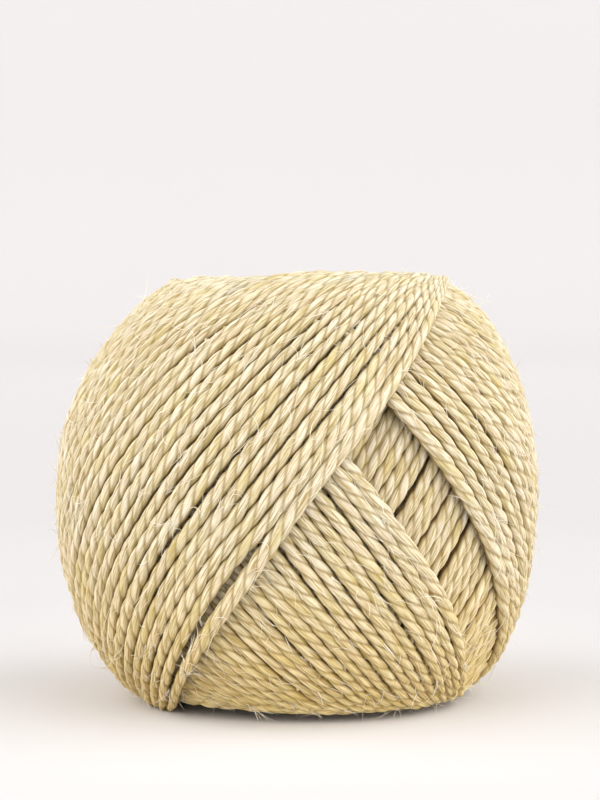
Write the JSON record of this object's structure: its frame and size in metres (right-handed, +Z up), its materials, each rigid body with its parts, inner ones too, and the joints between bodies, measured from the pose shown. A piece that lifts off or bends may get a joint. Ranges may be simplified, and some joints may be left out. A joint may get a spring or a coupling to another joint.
{
  "type": "ball of string",
  "caption": "Round wound ball of undyed plied plant-fibre string, crossing bands of strands, a hollow at each pole and a flat foot.",
  "frame": {"origin": "middle of the flat foot, on the surface the ball stands on", "axes": "+Z up along the winding's axis; -Y faces the picture's camera; +X to its right"},
  "size_m": [0.0899, 0.0925, 0.0803],
  "materials": {
    "sisal_string": "undyed sisal fibre, matt with a faint sheen along the fibres"
  },
  "bodies": {
    "root": {"string_ball": "sisal_string"}
  },
  "joints": []
}
